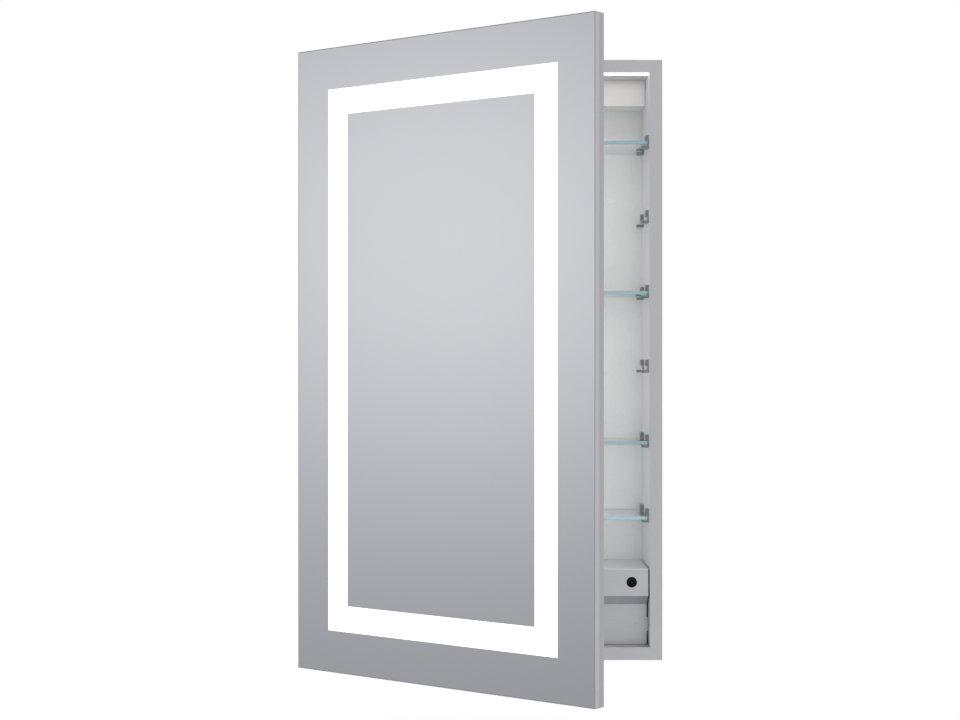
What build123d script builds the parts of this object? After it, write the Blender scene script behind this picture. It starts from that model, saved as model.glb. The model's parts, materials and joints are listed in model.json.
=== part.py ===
from build123d import *
import math
import os

# Wall-hung medicine cabinet with a lit mirror door, in millimetres.
# The origin is the centre of the back face, on the wall: +X right, +Y into the wall, +Z up.
# The door is built closed and then turned open about its hinge, to the resting angle.

# Cabinet body
BODY_W = 581.0
BODY_H = 997.0
BODY_D = 152.0
RIM = 21.0                    # width of the side profiles, seen as the face frame
PROFILE_WALL = 1.6
PANEL_T = 2.0                 # back panel
FRONT = -BODY_D               # face of the cabinet
PROFILE_BACK = -PANEL_T
WEBS = (-70.0, -36.0)         # webs inside each profile
INNER_X = BODY_W / 2 - RIM    # inner side walls
INNER_Z = BODY_H / 2 - RIM    # inner ceiling and floor

# Door
DOOR_W = 597.0
DOOR_H = 1016.0
DOOR_T = 22.3
DOOR_GAP = 6.0                # closed door to cabinet face
DOOR_BACK = FRONT - DOOR_GAP
DOOR_FRONT = DOOR_BACK - DOOR_T
DOOR_OPEN = 38.4              # resting angle, degrees
LIP = 1.2                     # metal lip round the mirror glass
MIRROR_T = 5.0
BAR_DEPTH = 11.2              # front layer of the door
BAR_W = 20.0
GROOVE = 0.6                  # shadow line between the two layers
GROOVE_IN = 0.8
PAN_T = 1.2
INNER_MIRROR_T = 3.0
BAND_OUTER = 68.0             # margins of the frosted band from the door's edge
BAND_INNER = 110.0

# Hinge
HINGE_X = -BODY_W / 2
HINGE_Y = FRONT - DOOR_GAP / 2
HINGE_LENGTH = 930.0
KNUCKLES = 31
KNUCKLE_R = 2.7
KNUCKLE_BORE_R = 1.55
PIN_R = 1.5
LEAF_T = 1.2
LEAF_W = 17.0
LEAF_SCREWS = 8

# Shelves and clips
SHELF_T = 6.0
SHELF_GAP = 2.0               # glass edge to side wall
SHELF_FRONT = FRONT + 6.0
SHELF_BACK = PROFILE_BACK - 4.0
CLIP_LEVELS = (365.0, 240.0, 115.0, -10.0, -135.0, -260.0)    # top of the glass
SHELF_LEVELS = {"shelf_top": 0, "shelf_upper": 2, "shelf_lower": 4, "shelf_bottom": 5}
CLIP_Y = (-124.0, -30.0)
CLIP_WIDTH = 20.0
CLIP_PAD_T = 0.8
CLIP_REACH = 12.0             # lower jaw from the wall
CLIP_LIP = 5.2                # upper lip from the wall
CLIP_HEAD = 10.5              # clip over the top of the glass
CLIP_JAW_T = 4.4
CLIP_PLATE_T = 1.6
CLIP_STUD_Z = 6.0             # from the top of the glass
CLIP_STUD_R = 2.0

# Interior light, let into the top profile
LIGHT_FRONT = FRONT + PROFILE_WALL + 0.4
LIGHT_D = 76.0
LIGHT_H = 12.0
LIGHT_W = 2 * INNER_X - 0.4
DIFFUSER_D = 30.0

# Upper rear cover
COVER_D = 66.0
COVER_BOTTOM = 433.6
COVER_LIP = 12.0

# Electrical box at the foot of the cabinet
BOX_GAP = 2.0                 # each end of the box to the side wall
BOX_W = 2 * (INNER_X - BOX_GAP)
BOX_TOP = -346.6
BOX_FRONT = FRONT + 3.0
BOX_FRONT_BOTTOM = -392.4
BOX_BACK_FACE = FRONT + 34.0
BOX_SLANT_BOTTOM = -410.0
BOX_FLOOR = -INNER_Z
BOX_SHEET = 1.5
BOX_ROUND = 3.0
COVER_SCREW_X = (-250.0, -84.0, 84.0, 250.0)
COVER_SCREW_Z = -440.0
TAB_Z = (-455.0, -432.0)      # tabs that hold the box to the side walls

# Outlets in the slanted face
OUTLET_X = (30.0, 130.0)      # centres of the duplex outlet and the USB module
OUTLET_W = (67.0, 48.0)
OUTLET_H = 30.0

# Parts inside the box
DRIVER_HALF_W = 75.0
DRIVER_Y = (-60.0, -20.0)
DRIVER_H = 31.0               # over the floor of the cabinet
DRIVER_EAR = 10.0
TERMINAL_X = (-145.0, -95.0)
TERMINAL_Y = (-75.0, -57.0)
TERMINAL_H = 20.0
TERMINAL_WAYS = 4
BOARD_X = (170.0, 235.0)
BOARD_Y = (-60.0, -58.4)
BOARD_Z = (-420.0, -360.0)
POST_INSET = 5.0

# Push button
BUTTON_X = 240.0
BUTTON_Z = -369.5
BUTTON_R = 7.0
BEZEL_R = 8.7

# Wall fixing and cable inlet
WALL_HOLE_X = 200.0
WALL_HOLE_Z = 460.0
WALL_HOLE_R = 3.5
INLET_X = -120.0
INLET_Z = -440.0
INLET_R = 11.0
INLET_BORE_R = 7.0
GROMMET_X = -BODY_W / 2 + RIM / 2
GROMMET_Z = -481.0

SCREW_R = 1.5
SCREW_HOLE_R = 1.6


def block(x0, x1, y0, y1, z0, z1):
    centre = Pos((x0 + x1) / 2, (y0 + y1) / 2, (z0 + z1) / 2)
    return centre * Box(abs(x1 - x0), abs(y1 - y0), abs(z1 - z0))


def rod_y(x, z, y0, y1, radius):
    """A round bar along Y."""
    return Pos(x, (y0 + y1) / 2, z) * Rot(90, 0, 0) * Cylinder(radius, abs(y1 - y0))


def rod_x(y, z, x0, x1, radius):
    """A round bar along X."""
    return Pos((x0 + x1) / 2, y, z) * Rot(0, 90, 0) * Cylinder(radius, abs(x1 - x0))


def ring_y(x, z, y0, y1, outer, inner):
    return rod_y(x, z, y0, y1, outer) - rod_y(x, z, min(y0, y1) - 1, max(y0, y1) + 1, inner)


def screw_y(x, z, head_y, tip_y, head_r=2.6, head_t=0.8):
    """A low-headed screw along Y: the head stands in front of head_y, the shank runs back to tip_y."""
    away = math.copysign(1.0, head_y - tip_y)
    return rod_y(x, z, head_y, head_y + away * head_t, head_r) + rod_y(x, z, head_y, tip_y, SCREW_R)


def side_outline(points):
    """A face in the Y-Z plane from (y, z) points."""
    return Plane.YZ * make_face(Polyline(*points, close=True))


def along_x(face, x0, x1):
    return Pos(x0, 0, 0) * extrude(face, amount=x1 - x0)


def mitred(bar, width, height, reach):
    """Cuts a left-hand upright to 45 degrees at both ends."""
    half_w = width / 2
    half_h = height / 2
    corners = ((-half_w, -half_h), (-half_w + reach, -half_h + reach),
               (-half_w + reach, half_h - reach), (-half_w, half_h))
    prism = extrude(Plane.XZ * make_face(Polyline(*corners, close=True)), amount=400, both=True)
    return bar & prism


def four_bars(upright, width, height):
    """The same bar on all four sides. upright(width, height) makes the left one."""
    return {
        "left": upright(width, height),
        "right": Rot(0, 180, 0) * upright(width, height),
        "top": Rot(0, 90, 0) * upright(height, width),
        "bottom": Rot(0, -90, 0) * upright(height, width),
    }


# Cabinet profiles

def body_upright(width, height):
    left = -width / 2
    bar = block(left, left + RIM, FRONT, PROFILE_BACK, -height / 2, height / 2)
    walls = (FRONT + PROFILE_WALL / 2,) + WEBS + (PROFILE_BACK - PROFILE_WALL / 2,)
    for front_wall, back_wall in zip(walls, walls[1:]):
        bar -= block(left + PROFILE_WALL, left + RIM - PROFILE_WALL, front_wall + PROFILE_WALL / 2,
                     back_wall - PROFILE_WALL / 2, -height, height)
    return mitred(bar, width, height, RIM)


def panel_screw_places():
    """Places of the back panel's screws: along the sides, then along the top and bottom."""
    side = BODY_W / 2 - RIM / 2
    level = BODY_H / 2 - RIM / 2
    places = [(sx * side, z) for sx in (-1, 1) for z in (-400.0, -200.0, 0.0, 200.0, 400.0)]
    places += [(x, sz * level) for sz in (-1, 1) for x in (-150.0, 150.0)]
    return places


def clip_places():
    """Side, depth and level of every clip."""
    return [(side, y, z) for z in CLIP_LEVELS for side in (-1, 1) for y in CLIP_Y]


def side_profiles():
    bars = four_bars(body_upright, BODY_W, BODY_H)
    for x, z in panel_screw_places():
        hole = rod_y(x, z, PROFILE_BACK - 3.0, 1.0, SCREW_HOLE_R)
        bars = {name: bar - hole for name, bar in bars.items()}
    for side, y, z in clip_places():
        name = "left" if side < 0 else "right"
        bars[name] -= rod_x(y, z + CLIP_STUD_Z, side * (INNER_X - 1), side * (INNER_X + 3), CLIP_STUD_R + 0.1)
    for z in leaf_screw_heights():
        bars["left"] -= rod_y(HINGE_X + 11.0, z, FRONT - 1, FRONT + 3, SCREW_HOLE_R)
    bars["left"] -= rod_y(GROMMET_X, GROMMET_Z, FRONT - 1, FRONT + 3, 4.0)
    bars["top"] -= block(-LIGHT_W / 2, LIGHT_W / 2, LIGHT_FRONT, LIGHT_FRONT + LIGHT_D,
                         INNER_Z - 1, INNER_Z + LIGHT_H)
    return {"left_profile": bars["left"], "right_profile": bars["right"],
            "top_profile": bars["top"], "bottom_profile": bars["bottom"]}


def corner_keys():
    """L-shaped keys in the two rear chambers of each corner."""
    keys = []
    play = 0.2
    arm = 60.0
    outer_x = BODY_W / 2 - PROFILE_WALL - play
    outer_z = BODY_H / 2 - PROFILE_WALL - play
    thick = RIM - 2 * (PROFILE_WALL + play)
    chambers = ((WEBS[0], WEBS[1]), (WEBS[1], PROFILE_BACK - PROFILE_WALL / 2))
    for y0, y1 in chambers:
        front = y0 + PROFILE_WALL / 2 + play
        back = y1 - PROFILE_WALL / 2 - play
        for sx in (-1, 1):
            for sz in (-1, 1):
                up = block(sx * outer_x, sx * (outer_x - thick), front, back,
                           sz * outer_z, sz * (outer_z - arm))
                across = block(sx * outer_x, sx * (outer_x - arm), front, back,
                               sz * outer_z, sz * (outer_z - thick))
                keys.append(up + across)
    return Compound(keys)


def back_panel():
    panel = block(-BODY_W / 2, BODY_W / 2, PROFILE_BACK, 0, -BODY_H / 2, BODY_H / 2)
    for sx in (-1, 1):
        for sz in (-1, 1):
            panel -= rod_y(sx * WALL_HOLE_X, sz * WALL_HOLE_Z, -5, 5, WALL_HOLE_R)
    for x, z in panel_screw_places():
        panel -= rod_y(x, z, -5, 5, SCREW_HOLE_R)
        panel -= rod_y(x, z, -0.9, 1, 2.8)
    return panel - rod_y(INLET_X, INLET_Z, -5, 5, INLET_R)


def back_panel_screws():
    """Flat screws, sunk flush with the back of the panel."""
    screws = []
    for x, z in panel_screw_places():
        head = rod_y(x, z, -0.9, -0.1, 2.6)
        screws.append(head + rod_y(x, z, -0.9, -7.0, SCREW_R))
    return Compound(screws)


def mounting_plates():
    """Steel plates inside the back panel, one at each wall screw."""
    plates = []
    for sx in (-1, 1):
        for sz in (-1, 1):
            x = sx * WALL_HOLE_X
            z = sz * WALL_HOLE_Z
            plate = block(x - 25, x + 25, PROFILE_BACK - 2.5, PROFILE_BACK, z - 12, z + 12)
            plates.append(plate - rod_y(x, z, -10, 1, WALL_HOLE_R))
    return Compound(plates)


def upper_rear_cover():
    """Folded cover under the ceiling: a front, a foot and a lip turned up along the back wall."""
    half = INNER_X - 0.5
    front = PROFILE_BACK - COVER_D
    back = PROFILE_BACK - 0.2
    top = INNER_Z - 0.4
    sheet = 1.0
    points = [(front, top), (front, COVER_BOTTOM), (back, COVER_BOTTOM), (back, COVER_BOTTOM + COVER_LIP),
              (back - sheet, COVER_BOTTOM + COVER_LIP), (back - sheet, COVER_BOTTOM + sheet),
              (front + sheet, COVER_BOTTOM + sheet), (front + sheet, top)]
    return along_x(side_outline(points), -half, half)


# Shelves and clips

def shelf(level):
    half = INNER_X - SHELF_GAP
    top = CLIP_LEVELS[level]
    glass = block(-half, half, SHELF_FRONT, SHELF_BACK, top - SHELF_T, top)
    glass = fillet(glass.edges().filter_by(Axis.Z), 2.0)
    return chamfer(glass.faces().sort_by(Axis.Z)[-1].edges() + glass.faces().sort_by(Axis.Z)[0].edges(), 0.4)


def clip(side, y, top):
    """One shelf clip: a wall plate, a tall lip over the glass, a jaw under it, and a stud into the wall."""
    pad_top = top - SHELF_T - CLIP_PAD_T
    jaw_foot = pad_top - CLIP_JAW_T
    half = CLIP_WIDTH / 2
    plate = block(0, CLIP_PLATE_T, -half, half, jaw_foot, top + CLIP_HEAD)
    lip = block(0, CLIP_LIP, -half, half, top + 0.4, top + CLIP_HEAD)
    lip = fillet(lip.edges().filter_by(Axis.Z).sort_by(Axis.X)[-2:], 2.5)
    jaw = block(0, CLIP_REACH, -half, half, jaw_foot, pad_top)
    jaw = fillet(jaw.edges().filter_by(Axis.Z).sort_by(Axis.X)[-2:], 5.0)
    rim = [e for e in jaw.faces().sort_by(Axis.Z)[0].edges() if e.center().X > 0.5]
    jaw = chamfer(rim, 0.8)
    stud = rod_x(0, top + CLIP_STUD_Z, -PROFILE_WALL - 2.0, 0.5, CLIP_STUD_R)
    body = plate + lip + jaw + stud
    if side > 0:
        body = mirror(body, about=Plane.YZ)
    return Pos(side * INNER_X, y, 0) * body


def clip_level(level):
    top = CLIP_LEVELS[level]
    return Compound([clip(side, y, top) for side in (-1, 1) for y in CLIP_Y])


def clip_pads():
    """Thin silicone pads between the lower jaws and the glass."""
    pads = []
    for side, y, top in clip_places():
        near = side * (INNER_X - SHELF_GAP)
        far = side * (INNER_X - 11.0)
        low = top - SHELF_T - CLIP_PAD_T
        pads.append(block(near, far, y - 8, y + 8, low, low + CLIP_PAD_T))
    return Compound(pads)


# Interior light

def light_parts():
    half = LIGHT_W / 2 - 0.4
    cap = 3.0
    front = LIGHT_FRONT + 0.2
    back = LIGHT_FRONT + LIGHT_D - 0.2
    split = front + DIFFUSER_D
    top = INNER_Z + LIGHT_H - 0.3
    wall = 1.2
    inner = half - cap
    end = [(front, INNER_Z + 2.2), (front, top), (back, top), (back, INNER_Z), (split, INNER_Z)]
    points = end + [(split, INNER_Z + 5.0), (split + wall, INNER_Z + 5.0), (split + wall, INNER_Z + wall),
                    (back - wall, INNER_Z + wall), (back - wall, top - wall), (front + wall, top - wall),
                    (front + wall, INNER_Z + 2.2)]
    housing = along_x(side_outline(points), -inner, inner)
    end_outline = side_outline(end + [(split, INNER_Z + 2.2)])
    diffuser = block(-half, half, front, split - 0.2, INNER_Z, INNER_Z + 2.0)
    diffuser = chamfer(diffuser.edges().filter_by(Axis.X).sort_by(Axis.Z)[:2], 0.6)
    strip = block(-inner + 4, inner - 4, front + 8, front + 20, top - wall - 1.2, top - wall)
    leds = [block(x - 1.8, x + 1.8, front + 12, front + 15.5, top - wall - 2.0, top - wall - 1.2)
            for x in spread(-inner + 12, inner - 12, 36)]
    caps = [along_x(end_outline, *sorted((s * inner, s * half))) for s in (-1, 1)]
    return {"light_housing": housing, "light_diffuser": diffuser,
            "light_strip": strip + leds, "light_end_caps": Compound(caps)}


def spread(first, last, count):
    """Evenly spaced values from first to last."""
    return [first + (last - first) * i / (count - 1) for i in range(count)]


# Electrical box

SLANT_MID_Y = (BOX_FRONT + BOX_BACK_FACE) / 2
SLANT_MID_Z = (BOX_FRONT_BOTTOM + BOX_SLANT_BOTTOM) / 2
SLANT_OUT = Vector(0, BOX_SLANT_BOTTOM - BOX_FRONT_BOTTOM, BOX_FRONT - BOX_BACK_FACE).normalized()


def slant_plane(x):
    """A plane on the slanted face, facing out of the box, with its own x along the cabinet's X."""
    return Plane(origin=(x, SLANT_MID_Y, SLANT_MID_Z), x_dir=(1, 0, 0), z_dir=SLANT_OUT)


def box_outline(grow):
    """The cover's side outline, open at the back and the floor, moved inwards by grow."""
    slope = (BOX_FRONT_BOTTOM - BOX_SLANT_BOTTOM) / (BOX_BACK_FACE - BOX_FRONT)
    lift = grow * math.hypot(1.0, slope)
    front = BOX_FRONT + grow
    face = BOX_BACK_FACE + grow
    return [(PROFILE_BACK - 1.0, BOX_TOP - grow), (front, BOX_TOP - grow),
            (front, BOX_FRONT_BOTTOM + lift - slope * grow),
            (face, BOX_SLANT_BOTTOM + lift - slope * grow), (face, BOX_FLOOR + 1.0)]


def box_cover():
    """One folded sheet: top, rounded front, slanted underside and lower face."""
    half = BOX_W / 2
    outer = box_outline(0.0)
    inner = box_outline(BOX_SHEET)
    sheet = along_x(side_outline(outer + inner[::-1]), -half, half)
    sheet = fillet(edge_near(sheet, BOX_FRONT, BOX_TOP), BOX_ROUND)
    sheet = fillet(edge_near(sheet, BOX_FRONT, BOX_FRONT_BOTTOM), 1.2)
    sheet -= rod_y(BUTTON_X, BUTTON_Z, BOX_FRONT - 2, BOX_FRONT + 5, BUTTON_R + 0.6)
    for x, width in zip(OUTLET_X, OUTLET_W):
        window = slant_plane(x) * Box(width, OUTLET_H, 8)
        sheet -= window
    for x in COVER_SCREW_X:
        sheet -= rod_y(x, COVER_SCREW_Z, BOX_BACK_FACE - 2, BOX_BACK_FACE + 5, SCREW_HOLE_R)
    return sheet


def edge_near(solid, y, z):
    """The edge along X nearest to the line at (y, z)."""
    lines = solid.edges().filter_by(Axis.X)
    return min(lines, key=lambda e: math.hypot(e.center().Y - y, e.center().Z - z))


def cover_screws():
    return Compound([screw_y(x, COVER_SCREW_Z, BOX_BACK_FACE, BOX_BACK_FACE + 8) for x in COVER_SCREW_X])


def box_side_tabs():
    """Small tabs that bridge the gap between the box and the side walls, flush with the lower face."""
    tabs = []
    for side in (-1, 1):
        wall = side * INNER_X
        edge = side * (INNER_X - BOX_GAP)
        tabs.append(block(wall, edge, BOX_BACK_FACE + 0.3, BOX_BACK_FACE + 3.2, *TAB_Z))
    return Compound(tabs)


def box_base():
    """Base plate with a front fold behind the cover's lower face."""
    half = BOX_W / 2 - 1.5
    plate = block(-half, half, BOX_BACK_FACE + BOX_SHEET, PROFILE_BACK - 1, BOX_FLOOR + 0.2, BOX_FLOOR + 1.7)
    fold = block(-half, half, BOX_BACK_FACE + BOX_SHEET + 0.1, BOX_BACK_FACE + BOX_SHEET + 1.6,
                 BOX_FLOOR + 0.2, -430.0)
    for x in COVER_SCREW_X:
        fold -= rod_y(x, COVER_SCREW_Z, BOX_BACK_FACE, BOX_BACK_FACE + 5, SCREW_HOLE_R)
    return plate + fold


def box_ends():
    """Black end caps in the cover's two open ends, standing out into the gaps at the side walls."""
    inner = box_outline(BOX_SHEET + 0.1)
    points = inner[:-1] + [(inner[-1][0] + 1.8, BOX_SLANT_BOTTOM), (inner[-1][0] + 1.8, BOX_FLOOR + 1.9),
                           (PROFILE_BACK - 1.0, BOX_FLOOR + 1.9)]
    inner_x = BOX_W / 2 - 1.5
    outer_x = INNER_X - 0.2
    return Compound([along_x(side_outline(points), -outer_x, -inner_x),
                     along_x(side_outline(points), inner_x, outer_x)])


def outlet():
    """Duplex outlet set into the slanted face: two receptacles, each with two slots and an earth hole."""
    at = slant_plane(OUTLET_X[0])
    width = OUTLET_W[0] - 0.4
    body = at * Pos(0, 0, -14) * Box(width - 4, OUTLET_H - 4, 26)
    face = at * Pos(0, 0, -0.6) * Box(width, OUTLET_H - 0.4, 2.0)
    made = body + face
    for cx in (-width / 4, width / 4):
        for dx, slot in ((-6.35, 8.0), (6.35, 6.5)):
            made -= at * Pos(cx + dx, 2, -5) * Box(1.6, slot, 14)
        made -= at * Pos(cx, -8.5, -5) * Cylinder(2.4, 14)
    return made


def usb_module():
    """Charging module: two wide ports and one small rounded one."""
    at = slant_plane(OUTLET_X[1])
    width = OUTLET_W[1] - 0.4
    body = at * Pos(0, 0, -11) * Box(width - 4, OUTLET_H - 4, 20)
    made = body + at * Pos(0, 0, -0.6) * Box(width, OUTLET_H - 0.4, 2.0)
    for cx in (-14, 0):
        made -= at * Pos(cx, 0, -4) * Box(5.2, 13.0, 12)
        made += at * Pos(cx - 1.0, 0, -5.6) * Box(1.8, 11.0, 9.6)
    made -= at * Pos(14, 0, -4) * Box(3.2, 9.0, 12)
    return made


def led_driver():
    """Power supply on the base plate, with mounting ears."""
    floor = BOX_FLOOR + 1.7
    half = DRIVER_HALF_W
    middle = sum(DRIVER_Y) / 2
    body = block(-half, half, *DRIVER_Y, floor, BOX_FLOOR + DRIVER_H)
    body = fillet(body.edges().filter_by(Axis.Z), 3.0)
    ears = block(-half - DRIVER_EAR, half + DRIVER_EAR, middle - 6, middle + 6, floor, floor + 2.3)
    return body + ears


def terminal_block():
    """Screw terminals for the mains leads, open at the top."""
    top = BOX_FLOOR + TERMINAL_H
    body = block(*TERMINAL_X, *TERMINAL_Y, BOX_FLOOR + 1.7, top)
    for x in spread(TERMINAL_X[0] + 8, TERMINAL_X[1] - 8, TERMINAL_WAYS):
        body -= Pos(x, sum(TERMINAL_Y) / 2, top - 2) * Cylinder(3.0, 8)
    return body


def control_board():
    """Dimmer and defogger board behind the button, on four posts, with two relays on its face."""
    front, back = BOARD_Y
    board = block(*BOARD_X, front, back, *BOARD_Z)
    posts = [rod_y(x, z, front, PROFILE_BACK, 2.5)
             for x in (BOARD_X[0] + POST_INSET, BOARD_X[1] - POST_INSET)
             for z in (BOARD_Z[0] + POST_INSET, BOARD_Z[1] - POST_INSET)]
    relays = [block(x, x + 15, front - depth, front, z, z + 15)
              for x, z, depth in ((185, -400, 8), (210, -410, 5))]
    return board + posts + relays


# Push button

def button_bezel():
    """Threaded collar with a flange on the cover's face."""
    flange = rod_y(BUTTON_X, BUTTON_Z, BOX_FRONT, BOX_FRONT - 1.2, BEZEL_R)
    flange = chamfer(flange.faces().sort_by(Axis.Y)[0].edges(), 0.4)
    barrel = rod_y(BUTTON_X, BUTTON_Z, BOX_FRONT, BOX_FRONT + 12, BUTTON_R + 0.5)
    nut = rod_y(BUTTON_X, BUTTON_Z, BOX_FRONT + BOX_SHEET + 0.1, BOX_FRONT + 5, BEZEL_R)
    bore = rod_y(BUTTON_X, BUTTON_Z, BOX_FRONT - 3, BOX_FRONT + 14, BUTTON_R - 0.6)
    return flange + barrel + nut - bore


def button_cap():
    """Round cap with a raised ring, on a stem."""
    front = BOX_FRONT - 2.0
    radius = BUTTON_R - 0.75
    cap = rod_y(BUTTON_X, BUTTON_Z, front, BOX_FRONT + 4, radius)
    cap = fillet(cap.faces().sort_by(Axis.Y)[0].edges(), 0.5)
    cap -= ring_y(BUTTON_X, BUTTON_Z, front - 1, front + 0.3, 5.0, 4.0)
    return cap + rod_y(BUTTON_X, BUTTON_Z, BOX_FRONT + 4, BOX_FRONT + 13, 2.0)


def switch_body():
    """Switch behind the collar, with a blind hole for the cap's stem."""
    front = BOX_FRONT + 12.0
    body = rod_y(BUTTON_X, BUTTON_Z, front, front + 18, BUTTON_R + 0.5)
    body -= rod_y(BUTTON_X, BUTTON_Z, front - 1, front + 6, 2.4)
    pins = [rod_y(BUTTON_X + dx, BUTTON_Z, front + 18, front + 24, 0.8) for dx in (-4, 4)]
    return body + pins


def button_spring():
    """Compression spring round the stem, between the switch and the cap."""
    length = 7.8
    coil = Helix(pitch=1.95, height=length - 0.6, radius=4.2)
    wire = sweep(Plane(origin=coil @ 0, z_dir=coil % 0) * Circle(0.3), path=coil)
    return Pos(BUTTON_X, BOX_FRONT + 11.6, BUTTON_Z) * Rot(90, 0, 0) * wire


# Cable entries

def inlet_bushing():
    """Bushing in the back panel's cable hole, flush with the wall."""
    body = rod_y(INLET_X, INLET_Z, 0, -10, INLET_R - 0.2)
    body += rod_y(INLET_X, INLET_Z, PROFILE_BACK, -5, INLET_R + 2.5)
    return body - rod_y(INLET_X, INLET_Z, -20, 5, INLET_BORE_R)


def lead_grommet(plate_front, plate_back):
    """Rubber grommet through a plate, 1 mm proud on both faces."""
    body = rod_y(GROMMET_X, GROMMET_Z, plate_front - 1, plate_front - 0.05, 5.5)
    body += rod_y(GROMMET_X, GROMMET_Z, plate_back + 1, plate_back + 0.05, 5.5)
    body += rod_y(GROMMET_X, GROMMET_Z, plate_front - 1, plate_back + 1, 3.9)
    return body - rod_y(GROMMET_X, GROMMET_Z, plate_front - 3, plate_back + 3, 2.2)


# Hinge

def knuckle_spans(owner):
    """Heights of the knuckles that belong to the body leaf (0) or to the door leaf (1)."""
    pitch = HINGE_LENGTH / KNUCKLES
    low = -HINGE_LENGTH / 2
    return [(low + i * pitch + 0.15, low + (i + 1) * pitch - 0.15) for i in range(KNUCKLES) if i % 2 == owner]


def leaf_screw_heights():
    return spread(-HINGE_LENGTH / 2 + 45, HINGE_LENGTH / 2 - 45, LEAF_SCREWS)


def hinge_leaf(owner, side):
    """A leaf with its knuckles. side is +1 for the leaf on the cabinet's face, -1 for the one on the door."""
    outer = HINGE_Y + side * DOOR_GAP / 2
    inner = outer - side * LEAF_T
    notch = 3.4
    leaf = block(HINGE_X + notch, HINGE_X + LEAF_W, inner, outer, -HINGE_LENGTH / 2, HINGE_LENGTH / 2)
    links = []
    for low, high in knuckle_spans(owner):
        middle = (low + high) / 2
        knuckle = Pos(HINGE_X, HINGE_Y, middle) * Cylinder(KNUCKLE_R, high - low)
        tongue = block(HINGE_X, HINGE_X + notch + 1, inner, outer - side * 0.3, low, high)
        links.append(knuckle + tongue)
    leaf += links
    leaf -= Pos(HINGE_X, HINGE_Y, 0) * Cylinder(KNUCKLE_BORE_R, HINGE_LENGTH + 10)
    for z in leaf_screw_heights():
        leaf -= rod_y(HINGE_X + 11.0, z, inner - side * 2, outer + side * 2, SCREW_HOLE_R)
    return leaf


def hinge_pin():
    pin = Pos(HINGE_X, HINGE_Y, 0) * Cylinder(PIN_R, HINGE_LENGTH + 1)
    heads = [Pos(HINGE_X, HINGE_Y, s * (HINGE_LENGTH / 2 + 0.8)) * Cylinder(2.2, 1.0) for s in (-1, 1)]
    return pin + heads


def leaf_screws(side):
    seat = HINGE_Y + side * (DOOR_GAP / 2 - LEAF_T)
    return Compound([screw_y(HINGE_X + 11.0, z, seat, seat + side * 8, head_r=2.8)
                     for z in leaf_screw_heights()])


# Door, built closed

def door_upright(width, height):
    """Front bar of the door: a flat tube behind the glass and a thin lip beside it."""
    left = -width / 2
    seat = DOOR_FRONT + MIRROR_T + 0.1
    back = DOOR_FRONT + BAR_DEPTH
    bar = block(left, left + LIP, DOOR_FRONT, back, -height / 2, height / 2)
    bar += block(left, left + BAR_W, seat, back, -height / 2, height / 2)
    bar -= block(left + LIP, left + BAR_W - LIP, seat + LIP, back - LIP, -height, height)
    return mitred(bar, width, height, BAR_W)


def pan_screw_places():
    """Places of the pan's screws. The hinge screws hold the middle of the left side."""
    side = DOOR_W / 2 - BAR_W / 2 - 2
    level = DOOR_H / 2 - BAR_W / 2
    places = [(side, z) for z in (-492.0, -246.0, 0.0, 246.0, 492.0)]
    places += [(-side, z) for z in (-492.0, 492.0)]
    return places + [(x, sz * level) for sz in (-1, 1) for x in (-140.0, 140.0)]


def door_bars():
    bars = four_bars(door_upright, DOOR_W, DOOR_H)
    return {f"door_bar_{name}": bar for name, bar in bars.items()}


def door_corner_keys():
    """Flat L-shaped keys in the tubes of the front bars."""
    play = 0.15
    seat = DOOR_FRONT + MIRROR_T + 0.1
    front = seat + LIP + play
    back = DOOR_FRONT + BAR_DEPTH - LIP - play
    outer_x = DOOR_W / 2 - LIP - play
    outer_z = DOOR_H / 2 - LIP - play
    thick = BAR_W - 2 * (LIP + play)
    arm = 70.0
    keys = []
    for sx in (-1, 1):
        for sz in (-1, 1):
            up = block(sx * outer_x, sx * (outer_x - thick), front, back,
                       sz * outer_z, sz * (outer_z - arm))
            across = block(sx * outer_x, sx * (outer_x - arm), front, back,
                           sz * outer_z, sz * (outer_z - thick))
            keys.append(up + across)
    return Compound(keys)


def door_mirror():
    half_w = DOOR_W / 2 - LIP - 0.2
    half_h = DOOR_H / 2 - LIP - 0.2
    glass = block(-half_w, half_w, DOOR_FRONT, DOOR_FRONT + MIRROR_T, -half_h, half_h)
    return chamfer(glass.faces().sort_by(Axis.Y)[0].edges(), 0.5)


def ring_plate(outer, inner, y0, y1):
    """A flat rectangular ring with the given margins from the door's edge."""
    plate = block(-DOOR_W / 2 + outer, DOOR_W / 2 - outer, y0, y1, -DOOR_H / 2 + outer, DOOR_H / 2 - outer)
    return plate - block(-DOOR_W / 2 + inner, DOOR_W / 2 - inner, y0 - 1, y1 + 1,
                         -DOOR_H / 2 + inner, DOOR_H / 2 - inner)


def band_light_guide():
    y = DOOR_FRONT + MIRROR_T
    return ring_plate(BAND_OUTER - 5, BAND_INNER + 5, y + 0.2, y + 4.2)


def door_led_strips():
    """Four strips of LEDs on edge round the outside of the light guide."""
    y = DOOR_FRONT + MIRROR_T
    x = DOOR_W / 2 - BAND_OUTER + 6
    z = DOOR_H / 2 - BAND_OUTER + 6
    strips = [block(s * x, s * (x + 1.2), y + 0.3, y + 4.1, -z + 4, z - 4) for s in (-1, 1)]
    strips += [block(-x + 4, x - 4, y + 0.3, y + 4.1, s * z, s * (z + 1.2)) for s in (-1, 1)]
    return Compound(strips)


def defogger_pad():
    y = DOOR_FRONT + MIRROR_T
    return block(-150, 150, y + 0.1, y + 0.7, -150, 250)


def door_chassis():
    """Thin plate behind the light guide, carried by the front bars."""
    half_w = DOOR_W / 2 - BAR_W - 1
    half_h = DOOR_H / 2 - BAR_W - 1
    y = DOOR_FRONT + BAR_DEPTH
    return block(-half_w, half_w, y - 1.4, y - 0.4, -half_h, half_h)


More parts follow.
